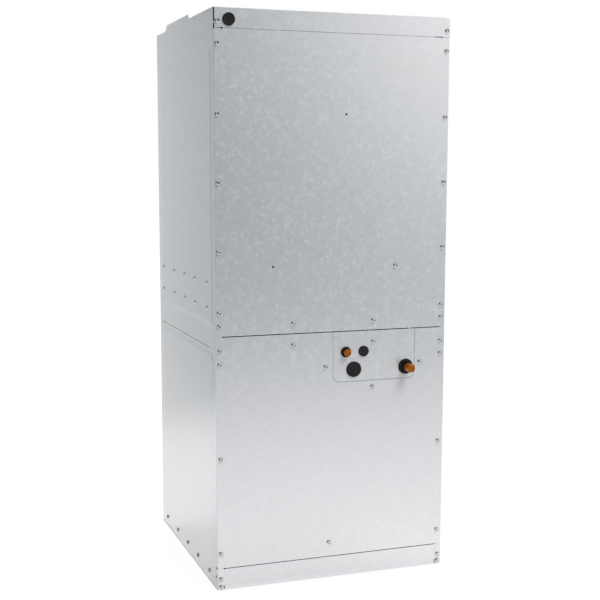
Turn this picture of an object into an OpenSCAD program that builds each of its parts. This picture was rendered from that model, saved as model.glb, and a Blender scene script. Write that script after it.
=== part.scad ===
// Floor-standing air handling unit in bare galvanised sheet steel.
// Two stacked modules stand on a base: the lower one holds the coil and its
// drain pan, the upper one holds the blower. Air enters through the open base
// and leaves through the flanged opening in the rear of the top.
// Millimetres, +Z up, front towards -Y, origin under the middle of the whole
// outline, on the floor.

/* [Cabinet] */
// Width of the cabinet over its side panels
cab_w = 533.4; // [525:0.1:560]
// Depth of the cabinet from front panel to back panel
cab_d = 533.4; // [530:0.1:560]
// Height of the cabinet to the top of the front cover
cab_h = 1232.8; // [1225:0.1:1260]
// Thickness of the cabinet sheet
sheet = 1; // [0.8:0.1:1]
// Width of the return flanges on the side panels
side_flange = 16; // [12:1:20]
// Width of the return flanges on the upper right side panel
right_flange = 15.3; // [10:0.1:20]
// Outer radius of the sheet bends
bend_r = 3; // [2.2:0.1:3.4]
// Height of the seam between the modules on the sides
side_seam_z = 525.5; // [522:0.5:530]
// Height of the seam between the upper and lower front panels
front_seam_z = 554.4; // [550:0.1:560]
// Open gap over the base strip
panel_gap = 1.7; // [1:0.1:2.5]
// Open gap under the front cover
header_gap = 1.1; // [0.8:0.1:2]
// Open gap between the upper and lower front panels
seam_gap = 2; // [1:0.1:3]

/* [Side panels] */
// Height of the raised field pressed into each side panel
field_rise = 0.8; // [0.4:0.1:1.2]
// Corner radius of the raised field
field_r = 26; // [15:1:35]
// Distance from the front and back edges to the raised field
field_inset = 22.5; // [20:0.5:35]

/* [Top] */
// Height of the front flange of the top cover
header_h = 41.1; // [38:0.1:44]
// Depth of the top cover from the front
cover_d = 237; // [230:1:240]
// Distance of the supply opening from the side edges
supply_inset = 15.9; // [14:0.1:20]
// Distance of the supply opening from the back face
supply_back = 17.6; // [16:0.1:30]
// Distance of the supply opening from the front face
supply_front = 257.4; // [253:0.1:280]
// Height of the supply flanges over the top panel
supply_flange_h = 21.5; // [16:0.5:30]
// How far the supply flanges lean in at their top
flange_lean = 1.9; // [0:0.1:3]

/* [Base] */
// Height of the front strip of the base
base_h = 47; // [42:0.1:50]
// Width of the feet of the base rails
base_foot = 25; // [18:1:30]

/* [Front fittings] */
// Outside diameter of the large stub
large_stub_d = 19.05; // [15.875:0.005:22.225]
// Outside diameter of the small stub
small_stub_d = 15.875; // [9.525:0.005:15.875]
// Reach of the large stub in front of the panels
large_stub_reach = 31.5; // [20:0.5:40]
// Reach of the small stub in front of the panels
small_stub_reach = 13; // [10:0.5:30]
// Diameter of the large rubber grommet and large plug
large_plug_d = 34.6; // [32:0.1:36]
// Diameter of the small rubber grommet and small plug
small_plug_d = 23.7; // [22:0.1:25]
// Diameter of the plug in the top cover
header_plug_d = 26.4; // [24:0.1:28]

/* [Inside] */
// Thickness of each coil slab
coil_t = 45; // [38:1:48]
// Length of each coil slab along its slope
coil_len = 370; // [340:1:370]
// Lean of the coil slabs from upright, in degrees
coil_lean = 28; // [27:0.5:28]
// Radius of the blower wheel
wheel_r = 127; // [115:1:128]
// Thickness of the wall lining
lining_t = 10; // [6:1:12]

/* [Hidden] */
a = cab_w / 2;                 // half width
d = cab_d;
t = sheet;
y_front = -(cab_d - large_stub_reach) / 2;  // front face of the cabinet
header_z = cab_h - header_h;   // lower edge of the front cover's flange
side_top = cab_h - 3;          // top edge of the upper side panels
upper_panel_top = header_z - header_gap;
upper_panel_bot = front_seam_z + seam_gap / 2;
lower_panel_top = front_seam_z - seam_gap / 2;
lower_panel_bot = base_h + panel_gap;
// the tube plate stands in a notch in the top of the lower front panel, flush
// with it, with an open groove between them
notch_x0 = -2.7;
notch_x1 = 193.6;
notch_z = 440.9;
notch_r = 16.5;
notch_side = 0.9;
notch_under = 2.6;
stub_large = [171.5, 468.7];
stub_small = [27.8, 508.3];
plug_large = [46.6, 469];
plug_small = [69.6, 508.3];
plug_header = [-234.6, cab_h - 23.6];
// supply opening
so_x = a - supply_inset;
so_y0 = supply_front;
so_y1 = d - supply_back;
// blower: wheel axis along X
deck_z = cab_h - 191;
wheel_y = 285;
wheel_z = cab_h - 366;
scroll_r0 = wheel_r + 13;
scroll_r1 = wheel_r + 95;
scroll_w = 140;
scroll_t = 1.5;
scroll_cut = 80;
// coil
coil_y0 = 45;
coil_y1 = d - 45;
coil_x = 195;
coil_z = 185;
pan_z = 150;
$fn = 48;

zinc = [0.72, 0.74, 0.75];
dark = [0.09, 0.09, 0.09];
copper = [0.66, 0.38, 0.12];

// ---------- helpers ----------
module place() { translate([0, y_front, 0]) children(); }

function arc(cx, cy, r, a0, a1, n = 6) =
  [for (i = [0:n]) let (g = a0 + (a1 - a0) * i / n) [cx + r * cos(g), cy + r * sin(g)]];

// rectangle with rounded corners
function round_rect(x0, y0, x1, y1, r, n = 8) = concat(
  arc(x0 + r, y0 + r, r, 180, 270, n), arc(x1 - r, y0 + r, r, 270, 360, n),
  arc(x1 - r, y1 - r, r, 0, 90, n), arc(x0 + r, y1 - r, r, 90, 180, n));

// box from its low corner to its high corner
module box(lo, hi) { translate(lo) cube(hi - lo); }

// flat shape drawn in X and Z, thick from y0 to y1
module xz_plate(pts, y0, y1) {
  translate([0, y1, 0]) rotate([90, 0, 0]) linear_extrude(height = y1 - y0) polygon(pts);
}

// flat shape drawn in Y and Z, thick from x0 to x1
module yz_plate(pts, x0, x1) {
  translate([x0, 0, 0]) rotate([90, 0, 90]) linear_extrude(height = x1 - x0) polygon(pts);
}

// turned piece on a line along Y: profile in [radius, distance towards the front]
module turned(c, pts) {
  translate([c[0], 0, c[1]]) rotate([90, 0, 0]) rotate_extrude($fn = 64) polygon(pts);
}

// plan outline of a side panel with a return flange at the front and the back
function side_plan(f) = concat(
  [[-a + f, t]], arc(-a + bend_r, t + bend_r, bend_r, 270, 180),
  arc(-a + bend_r, d - t - bend_r, bend_r, 180, 90), [[-a + f, d - t]],
  [[-a + f, d - 2 * t]], arc(-a + bend_r, d - t - bend_r, bend_r - t, 90, 180),
  arc(-a + bend_r, t + bend_r, bend_r - t, 180, 270), [[-a + f, 2 * t]]);

// section of a sheet bent in at the floor, w inside the cabinet's face
function foot_section(w, z1, foot) = concat(
  [[-a + w, z1]], arc(-a + bend_r, bend_r, bend_r - w, 180, 270), [[-a + foot, w], [-a + foot, w + t]],
  arc(-a + bend_r, bend_r, bend_r - w - t, 270, 180), [[-a + w + t, z1]]);

module side_sheet(z0, z1, f0, f1, f) {
  translate([0, 0, z0]) linear_extrude(height = z1 - z0) polygon(side_plan(f));
  yz_plate(round_rect(field_inset, f0, d - field_inset, f1, field_r),
    -a - field_rise, -a + t / 2);
}

// clearance in a side panel's front flange behind a seam's relief
module flange_gap(z) {
  box([-a + 12, 0, z - 3], [-a + side_flange + 1, 3, z + 3]);
}

// c is where the front corner is cut away, behind the open corner of the top
// cover
module upper_side(f, c) {
  difference() {
    side_sheet(side_seam_z + 1, side_top, 573, cab_h - 83.8, f);
    box([-a - 2, -1, c], [-a + side_flange + 1, 7, cab_h]);
    flange_gap(front_seam_z);
  }
}

module lower_side() {
  difference() {
    union() {
      side_sheet(bend_r, side_seam_z, 62, 518, side_flange);
      xz_plate(foot_section(0, bend_r + 1, base_foot), t + bend_r, d - t - bend_r);
    }
    // relief slits beside the base strip, and the flange cut short behind it
    box([-a - 1, 8.4, 25.5], [-a + t + 1, 13.6, 30.5]);
    box([-a - 1, 0, base_h - 0.4], [-a + t + 1, 13.5, base_h + 1.6]);
    box([-a + 8, 0, -1], [-a + side_flange + 1, 3, 13]);
    flange_gap(base_h + panel_gap / 2);
  }
}

// ---------- cabinet ----------
module upper_side_left() { color(zinc) place() upper_side(side_flange, header_z - 3); }
module upper_side_right() { color(zinc) place() mirror([1, 0, 0]) upper_side(right_flange, header_z + 2.5); }
module lower_side_left() { color(zinc) place() lower_side(); }
module lower_side_right() { color(zinc) place() mirror([1, 0, 0]) lower_side(); }

module upper_back_panel() {
  color(zinc) place() box([-a + 0.4, d - t, side_seam_z + 1], [a - 0.4, d, side_top - 1.5]);
}

module lower_back_panel() {
  color(zinc) place() box([-a + 0.4, d - t, 1.5], [a - 0.4, d, side_seam_z]);
}

module upper_front_panel() {
  color(zinc) place() difference() {
    box([-a + 0.4, 0, upper_panel_bot], [a - 0.4, t, upper_panel_top]);
    for (c = [[24.9, 1022.2], [-140, 699.7]])
      translate([c[0], -1, c[1]]) rotate([-90, 0, 0]) cylinder(r = 2.3, h = t + 2, $fn = 32);
    corner_relief();
    seam_relief(front_seam_z);
  }
}

// round relief at the left end of a seam, cut into both edges there
module seam_relief(z) {
  translate([-a + 15.1, -1, z]) rotate([-90, 0, 0]) cylinder(r = 1.7, h = t + 2, $fn = 24);
}

// round relief at the end of the left corner slit, cut into both edges there
module corner_relief() {
  translate([-a + 16.9, -1, header_z - header_gap / 2]) rotate([-90, 0, 0]) cylinder(r = 2.2, h = t + 2, $fn = 24);
}

module lower_front_panel() {
  color(zinc) place() difference() {
    xz_plate(concat(
      [[-a + 0.4, lower_panel_bot], [a - 0.4, lower_panel_bot], [a - 0.4, lower_panel_top],
       [notch_x1, lower_panel_top]],
      arc(notch_x1 - notch_r, notch_z + notch_r, notch_r, 0, -90, 8),
      arc(notch_x0 + notch_r, notch_z + notch_r, notch_r, 270, 180, 8),
      // end tab that closes the seam at the left
      [[notch_x0, lower_panel_top], [-a + 13.6, lower_panel_top], [-a + 13.6, lower_panel_top + seam_gap - 0.4],
       [-a + 0.4, lower_panel_top + seam_gap - 0.4]]), 0, t);
    seam_relief(front_seam_z);
    seam_relief(base_h + panel_gap / 2);
  }
}

// outline of the notch, g inside its sides and h over its lower edge, open at
// the top
function notch_shape(g, h) = let (r = notch_r - (g + h) / 2) concat(
  [[notch_x0 + g, lower_panel_top]],
  arc(notch_x0 + g + r, notch_z + h + r, r, 180, 270, 8),
  arc(notch_x1 - g - r, notch_z + h + r, r, 270, 360, 8),
  [[notch_x1 - g, lower_panel_top]]);

// joggled plate: its face stands in the notch with four round holes, and its
// rim laps behind the lower front panel
module tube_plate() {
  color(zinc) place() {
    difference() {
      xz_plate(notch_shape(notch_side, notch_under), 0, t);
      for (h = [[stub_large, large_plug_d / 2 - 3], [plug_large, large_plug_d / 2 - 3],
                [stub_small, small_plug_d / 2 - 2], [plug_small, small_plug_d / 2 - 2]])
        translate([h[0][0], -1, h[0][1]]) rotate([-90, 0, 0]) cylinder(r = h[1], h = 3 * t, $fn = 64);
    }
    difference() {
      box([notch_x0 - 30, t, notch_z - 26], [notch_x1 + 26, 2 * t, lower_panel_top]);
      translate([0, -1, 0]) xz_plate(concat([[notch_x0 + 5, lower_panel_top + 5]],
        notch_shape(5, 5), [[notch_x1 - 5, lower_panel_top + 5]]), 0, 3 * t + 1);
    }
  }
}

// shallow pan over the front of the top: the front flange and the two side
// wings are bent down from it and left open at the left corner
module top_cover() {
  color(zinc) place() difference() {
    union() {
      box([-a - t, 0, cab_h - t], [a + t, cover_d, cab_h]);
      box([-a + 1.9, 0, header_z], [a + t, t, cab_h - t / 2]);
      box([-a - t, 3, header_z - 3.6], [-a, cover_d, cab_h - t / 2]);
      box([a, 3, header_z - 3.6], [a + t, cover_d, cab_h - t / 2]);
    }
    translate([plug_header[0], -1, plug_header[1]]) rotate([-90, 0, 0])
      cylinder(r = header_plug_d / 2 - 2.2, h = t + 2, $fn = 64);
    corner_relief();
    // slot in the lower edge near the right end
    box([a - 34.6, -1, header_z - 1], [a - right_flange, t + 1, header_z + 0.7]);
    // clipped front right corner
    xz_plate([[a - 12, cab_h + 0.1], [a + t + 0.3, cab_h + 0.1], [a + t + 0.3, cab_h - 4]], -1, 12);
  }
}

module top_panel() {
  color(zinc) place() difference() {
    box([-a + t, cover_d - 2, side_top - t], [a - t, d - t, side_top]);
    box([-so_x, so_y0, side_top - 3], [so_x, so_y1, side_top + 3]);
  }
}

// channel close behind the seam under the front cover's flange, open to the back
module header_rail() {
  color(zinc) place() {
    box([-a + 20, t, header_z - 18], [a - 34.6, 2 * t, header_z + 5]);
    box([-a + 20, t, header_z - 18], [a - 34.6, 8 + t, header_z - 18 + t]);
    box([-a + 20, t, header_z + 5 - t], [a - 34.6, 8 + t, header_z + 5]);
  }
}

// flange with mitred ends, from q0 to q1 along its run, on the top panel
function flange_shape(q0, q1) = [[q0, side_top], [q1, side_top],
  [q1 - supply_flange_h, side_top + supply_flange_h], [q0 + supply_flange_h, side_top + supply_flange_h]];

// its foot is at x -t to 0, and it leans towards +X
module supply_flange(q0, q1) {
  intersection() {
    translate([0, 0, side_top]) xz_plate([[-t, 0], [0, 0], [flange_lean, supply_flange_h],
      [flange_lean - t, supply_flange_h]], q0, q1);
    yz_plate(flange_shape(q0, q1), -5, 10);
  }
}

module supply_flange_left() {
  color(zinc) place() translate([-so_x, 0, 0]) supply_flange(so_y0 + 1.2, so_y1 - 1.2);
}
module supply_flange_right() {
  color(zinc) place() mirror([1, 0, 0]) translate([-so_x, 0, 0]) supply_flange(so_y0 + 1.2, so_y1 - 1.2);
}
module supply_flange_front() {
  color(zinc) place() translate([0, so_y0, 0]) rotate([0, 0, 90]) supply_flange(-so_x + 1.2, so_x - 1.2);
}
module supply_flange_back() {
  color(zinc) place() translate([0, so_y1, 0]) rotate([0, 0, -90]) supply_flange(-so_x + 1.2, so_x - 1.2);
}

// ---------- base and rails ----------
module base_front_strip() {
  color(zinc) place() difference() {
    union() {
      box([-a + 0.4, 0, 0], [a - 0.4, t, base_h]);
      // end tabs that close the gap under the lower panel
      box([-a + 0.4, 0, 1], [-a + 13.4, t, base_h + panel_gap - 0.3]);
      box([a - 15, 0, 1], [a - 0.4, t, base_h + panel_gap - 0.3]);
      box([-a + 32, t / 2, 0], [a - 32, 13, t]);
      box([-a + 32, t / 2, base_h - t], [a - 32, 10, base_h]);
    }
    seam_relief(base_h + panel_gap / 2);
    for (s = [-1, 1]) box([s * (a - 14.9) - 0.9, -1, 2.2], [s * (a - 14.9) + 0.9, t + 1, 9.8]);
  }
}

// angle nested in the bent-in foot of a side panel
module base_rail() {
  xz_plate(foot_section(t, 44, base_foot - 2), 20, d - 20);
}
module base_rail_left() { color(zinc) place() base_rail(); }
module base_rail_right() { color(zinc) place() mirror([1, 0, 0]) base_rail(); }

module base_rail_back() {
  color(zinc) place() {
    box([-a + 32, d - 2 * t, 0], [a - 32, d - t, 44]);
    box([-a + 32, d - t - base_foot, 0], [a - 32, d - t, t]);
  }
}

// rail along the front, behind the panels, with two legs turned inwards
module cross_rail(z0, z1) {
  box([-a + side_flange + 2, 2 * t, z0], [a - side_flange - 2, 3 * t, z1]);
  box([-a + side_flange + 2, 2 * t, z0], [a - side_flange - 2, 14, z0 + t]);
  box([-a + side_flange + 2, 2 * t, z1 - t], [a - side_flange - 2, 14, z1]);
}
module upper_cross_rail() { color(zinc) place() cross_rail(front_seam_z + 7, front_seam_z + 40); }
module lower_cross_rail() { color(zinc) place() cross_rail(front_seam_z - 30, front_seam_z - 5); }

// ---------- front fittings ----------
// grommet: rounded front lip, neck through the plate, lip behind
module grommet(c, r, bore) {
  turned(c, concat([[bore, -t - 2]], [[r - 0.8, -t - 2], [r - 0.8, -t]],
    [[r - 3, -t], [r - 3, 0]], [[r, 0]], arc(r - 1.6, 1.6, 1.6, 0, 90, 5), [[bore, 3.2]]));
}
// hole plug: low domed head and a neck through the sheet, whose front is at f
module hole_plug(c, r, f, neck) {
  turned(c, concat([[0, f - t - 5], [neck - 1, f - t - 5], [neck, f - t - 4], [neck, f], [r, f]],
    arc(r - 1.4, f + 1.8, 1.4, 0, 70, 4),
    [for (i = [1:5]) let (q = (r - 1.4) * (1 - i / 5)) [q, f + 3.2 + 0.3 * (1 - pow(q / r, 2))]]));
}
// stub: slimmer inside its grommet, closed by a rounded end
module stub(c, r, reach) {
  e = 1.2;
  turned(c, concat([[0, -38], [r - 0.3, -38], [r - 0.3, 3.2], [r, 3.2]],
    arc(r - e, reach - e, e, 0, 90, 6), [[0, reach]]));
}

module small_grommet() { color(dark) place() grommet(stub_small, small_plug_d / 2, small_stub_d / 2 - 0.3); }
module large_grommet() { color(dark) place() grommet(stub_large, large_plug_d / 2, large_stub_d / 2 - 0.3); }
module small_stub() { color(copper) place() stub(stub_small, small_stub_d / 2, small_stub_reach); }
module large_stub() { color(copper) place() stub(stub_large, large_stub_d / 2, large_stub_reach); }
module header_plug() { color(dark) place() hole_plug(plug_header, header_plug_d / 2, 0, header_plug_d / 2 - 2.2); }
module large_hole_plug() { color(dark) place() hole_plug(plug_large, large_plug_d / 2, 0, large_plug_d / 2 - 3); }
module small_hole_plug() { color(dark) place() hole_plug(plug_small, small_plug_d / 2, 0, small_plug_d / 2 - 2); }

// ---------- blower ----------
// spiral of the housing in Y and Z about the wheel axis, w in from the outside
function scroll_pts(w, top) = concat(
  [[scroll_r0 * cos(scroll_cut) + w, top], [scroll_r0 * cos(scroll_cut) + w, scroll_r0 * sin(scroll_cut) - w]],
  [for (i = [1:40]) let (g = scroll_cut + (360 - scroll_cut) * i / 40,
     r = scroll_r0 + (scroll_r1 - scroll_r0) * i / 40 - w) [r * cos(g), r * sin(g)]],
  [[scroll_r1 - w, top]]);

module blower_deck() {
  color(zinc) place() difference() {
    union() {
      box([-a + 2 * t, 3, deck_z], [a - 2 * t, d - 3, deck_z + t]);
      for (s = [-1, 1]) box([s * (a - 1.5 * t) - t / 2, 20, deck_z - 22], [s * (a - 1.5 * t) + t / 2, d - 20, deck_z + t]);
    }
    box([-scroll_w + scroll_t, wheel_y + scroll_r0 * cos(scroll_cut) + scroll_t, deck_z - 3],
        [scroll_w - scroll_t, wheel_y + scroll_r1 - scroll_t, deck_z + 3]);
  }
}

// side plate of the housing with its round inlet
module blower_side() {
  translate([0, wheel_y, wheel_z]) difference() {
    yz_plate(scroll_pts(0, deck_z - wheel_z), -scroll_w, -scroll_w + scroll_t);
    rotate([0, 90, 0]) cylinder(r = wheel_r - 22, h = 2 * scroll_w + 10, center = true, $fn = 64);
  }
}
module blower_side_left() { color(zinc) place() blower_side(); }
module blower_side_right() { color(zinc) place() mirror([1, 0, 0]) blower_side(); }

// sheet that wraps round between the side plates
module blower_scroll() {
  color(zinc) place() translate([0, wheel_y, wheel_z]) difference() {
    yz_plate(scroll_pts(0, deck_z - wheel_z), -scroll_w + scroll_t, scroll_w - scroll_t);
    yz_plate(scroll_pts(scroll_t, deck_z - wheel_z + 5), -scroll_w, scroll_w);
  }
}

module blower_wheel() {
  color(zinc) place() translate([0, wheel_y, wheel_z]) rotate([0, 90, 0]) {
    difference() {
      cylinder(r = wheel_r, h = 240, center = true, $fn = 64);
      translate([0, 0, 3]) cylinder(r = wheel_r - 14, h = 130, $fn = 64);
      translate([0, 0, -133]) cylinder(r = wheel_r - 14, h = 130, $fn = 64);
    }
  }
}

module blower_motor() {
  color([0.13, 0.13, 0.14]) place() translate([0, wheel_y, wheel_z]) {
    rotate([0, 90, 0]) {
      translate([0, 0, 12]) cylinder(r = 66, h = 150, $fn = 64);
      translate([0, 0, 3]) cylinder(r = 7, h = 10, $fn = 32);
    }
    for (g = [90, 210, 330]) rotate([g, 0, 0]) box([scroll_w, 60, -9], [scroll_w + 3, wheel_r - 8, 9]);
  }
}

module plenum_divider() {
  color(zinc) place() box([-a + 2 * t, cover_d + 8, deck_z + t], [a - 2 * t, cover_d + 9, side_top - t]);
}

// ---------- lining boards ----------
module lining(z0, z1, y0) {
  for (s = [-1, 1])
    box([s * (a - t - lining_t / 2) - lining_t / 2, y0, z0], [s * (a - t - lining_t / 2) + lining_t / 2, d - 16, z1]);
  box([-a + side_flange + 1, d - 2 * t - lining_t, z0], [a - side_flange - 1, d - 2 * t, z1]);
}
module upper_lining() { color([0.2, 0.2, 0.2]) place() lining(deck_z + t, side_top - t, cover_d + 10); }
module lower_lining() { color([0.2, 0.2, 0.2]) place() lining(52, pan_z + 30, 20); }

// ---------- coil ----------
module coil_slab() {
  translate([coil_x, coil_y0, coil_z]) rotate([0, -coil_lean, 0])
    box([-coil_t / 2, 0, 0], [coil_t / 2, coil_y1 - coil_y0, coil_len]);
}
module coil_slab_right() { color([0.7, 0.7, 0.72]) place() coil_slab(); }
module coil_slab_left() { color([0.7, 0.7, 0.72]) place() mirror([1, 0, 0]) coil_slab(); }

// outline of the two leaning slabs seen from the front
function coil_outline() = let (c = cos(coil_lean), s = sin(coil_lean), h = coil_t / 2,
    b = [coil_x + h * c, coil_z + h * s], p = [coil_x + h * c - coil_len * s, coil_z + h * s + coil_len * c],
    e = [coil_x - h * c, coil_z - h * s])
  [[-b[0], b[1]], [-e[0], e[1]], e, b, p, [-p[0], p[1]]];
module coil_end_front() { color(zinc) place() xz_plate(coil_outline(), coil_y0 - t, coil_y0); }
module coil_end_back() { color(zinc) place() xz_plate(coil_outline(), coil_y1, coil_y1 + t); }

// tray with a raised rim round its middle opening and a lip that hangs on the sides
module drain_pan() {
  color([0.15, 0.16, 0.17]) place() difference() {
    union() {
      box([-250, 22, pan_z], [250, d - 22, pan_z + 38]);
      box([-a + t, 30, pan_z + 34], [a - t, d - 30, pan_z + 38]);
    }
    difference() {
      box([-247, 25, pan_z + 3], [247, d - 25, pan_z + 60]);
      box([-148, 62, pan_z], [148, d - 62, pan_z + 20]);
    }
    box([-145, 65, pan_z - 5], [145, d - 65, pan_z + 60]);
  }
}

upper_side_left();
upper_side_right();
upper_back_panel();
lower_side_left();
lower_side_right();
lower_back_panel();
upper_front_panel();
lower_front_panel();
tube_plate();
top_cover();
top_panel();
header_rail();
supply_flange_left();
supply_flange_right();
supply_flange_front();
supply_flange_back();
base_front_strip();
base_rail_left();
base_rail_right();
base_rail_back();
upper_cross_rail();
lower_cross_rail();
small_grommet();
large_grommet();
small_stub();
large_stub();
header_plug();
large_hole_plug();
small_hole_plug();
blower_deck();
blower_side_left();
blower_side_right();
blower_scroll();
blower_wheel();
blower_motor();
plenum_divider();
upper_lining();
lower_lining();
coil_slab_left();
coil_slab_right();
coil_end_front();
coil_end_back();
drain_pan();
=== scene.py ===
import math
import random

import bmesh
import bpy
from mathutils import Matrix, Vector


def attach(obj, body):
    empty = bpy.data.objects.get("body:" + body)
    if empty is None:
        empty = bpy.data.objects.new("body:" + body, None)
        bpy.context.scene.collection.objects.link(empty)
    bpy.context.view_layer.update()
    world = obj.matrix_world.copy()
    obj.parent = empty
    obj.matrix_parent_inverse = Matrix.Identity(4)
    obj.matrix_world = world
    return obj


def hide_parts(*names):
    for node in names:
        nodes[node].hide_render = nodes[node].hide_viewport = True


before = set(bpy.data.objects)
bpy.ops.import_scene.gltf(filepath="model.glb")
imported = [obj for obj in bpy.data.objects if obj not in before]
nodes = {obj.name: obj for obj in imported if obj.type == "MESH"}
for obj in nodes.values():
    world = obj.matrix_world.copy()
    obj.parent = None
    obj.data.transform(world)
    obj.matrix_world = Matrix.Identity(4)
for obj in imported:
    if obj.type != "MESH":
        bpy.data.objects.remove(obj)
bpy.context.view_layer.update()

sc = bpy.context.scene
MM = 0.001

# cabinet, in mm: half width, depth, sheet, bend radius, front face
A, D, T, R, YF = 266.7, 533.4, 1.0, 3.0, -250.95
CAB_H, HEADER_Z, SIDE_TOP, SEAM_Z, BASE_H, FRONT_SEAM_Z = 1232.8, 1191.7, 1229.8, 525.5, 47.0, 554.4


def at(x, y, z):
    """mm from the middle of the width, the front face and the floor, to metres in the part's frame"""
    return Vector((x * MM, (y + YF) * MM, z * MM))


def smooth01(v):
    v = min(1.0, max(0.0, v))
    return v * v * (3 - 2 * v)


# ------------------------------------------------------------------ camera
cam_data = bpy.data.cameras.new("camera")
cam = bpy.data.objects.new("camera", cam_data)
sc.collection.objects.link(cam)
cam_data.sensor_fit = "HORIZONTAL"
cam_data.sensor_width = 36.0
cam_data.lens = 68.3054
cam_data.shift_x = -0.00132
cam_data.shift_y = 0.02885
cam_data.clip_start = 0.02
cam.location = (-0.88843, -2.54250, 0.91056)
cam.rotation_euler = (math.radians(82.4763), math.radians(-0.1204), math.radians(-19.4762))
sc.camera = cam


# ------------------------------------------------------------------ materials
def new_mat(name):
    m = bpy.data.materials.new(name)
    m.use_nodes = True
    nt = m.node_tree
    nt.nodes.clear()
    out = nt.nodes.new("ShaderNodeOutputMaterial")
    b = nt.nodes.new("ShaderNodeBsdfPrincipled")
    nt.links.new(b.outputs[0], out.inputs[0])
    return m, nt, b


def add(nt, kind, **kw):
    n = nt.nodes.new(kind)
    for k, v in kw.items():
        if hasattr(n, k):
            setattr(n, k, v)
        else:
            n.inputs[k].default_value = v
    return n


def coords(nt, shift=(0, 0, 0), stretch=(1, 1, 1)):
    tc = nt.nodes.new("ShaderNodeTexCoord")
    mp = nt.nodes.new("ShaderNodeMapping")
    mp.inputs["Location"].default_value = shift
    mp.inputs["Scale"].default_value = stretch
    nt.links.new(tc.outputs["Object"], mp.inputs["Vector"])
    return mp.outputs["Vector"]


def noise(nt, vec, scale, detail=2.0, rough=0.5):
    n = nt.nodes.new("ShaderNodeTexNoise")
    n.inputs["Scale"].default_value = scale
    n.inputs["Detail"].default_value = detail
    n.inputs["Roughness"].default_value = rough
    nt.links.new(vec, n.inputs["Vector"])
    return n


def ramp(nt, fac, stops):
    r = nt.nodes.new("ShaderNodeValToRGB")
    els = r.color_ramp.elements
    while len(els) < len(stops):
        els.new(0.5)
    for e, (p, c) in zip(els, stops):
        e.position = p
        e.color = (*c, 1)
    nt.links.new(fac, r.inputs["Fac"])
    return r.outputs["Color"]


def maths(nt, op, a, b):
    n = nt.nodes.new("ShaderNodeMath")
    n.operation = op
    for i, v in enumerate((a, b)):
        if isinstance(v, (int, float)):
            n.inputs[i].default_value = v
        else:
            nt.links.new(v, n.inputs[i])
    return n.outputs[0]


def vmath(nt, op, a, b=None, scale=None):
    n = nt.nodes.new("ShaderNodeVectorMath")
    n.operation = op
    for i, v in enumerate((a, b)):
        if v is None:
            continue
        if isinstance(v, tuple):
            n.inputs[i].default_value = v
        else:
            nt.links.new(v, n.inputs[i])
    if scale is not None:
        n.inputs["Scale"].default_value = scale
    return n.outputs[0]


def map_range(nt, v, lo, hi, to_lo, to_hi):
    n = nt.nodes.new("ShaderNodeMapRange")
    for k, x in zip(("From Min", "From Max", "To Min", "To Max"), (lo, hi, to_lo, to_hi)):
        n.inputs[k].default_value = x
    nt.links.new(v, n.inputs["Value"])
    return n.outputs[0]


def bump(nt, b, height, strength, distance):
    n = nt.nodes.new("ShaderNodeBump")
    n.inputs["Strength"].default_value = strength
    n.inputs["Distance"].default_value = distance
    nt.links.new(height, n.inputs["Height"])
    nt.links.new(n.outputs[0], b.inputs["Normal"])
    return n


def soft_step(nt, v, lo, hi):
    n = nt.nodes.new("ShaderNodeMapRange")
    n.interpolation_type = "SMOOTHSTEP"
    n.inputs["From Min"].default_value = lo
    n.inputs["From Max"].default_value = hi
    nt.links.new(v, n.inputs["Value"])
    return n.outputs[0]


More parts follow.
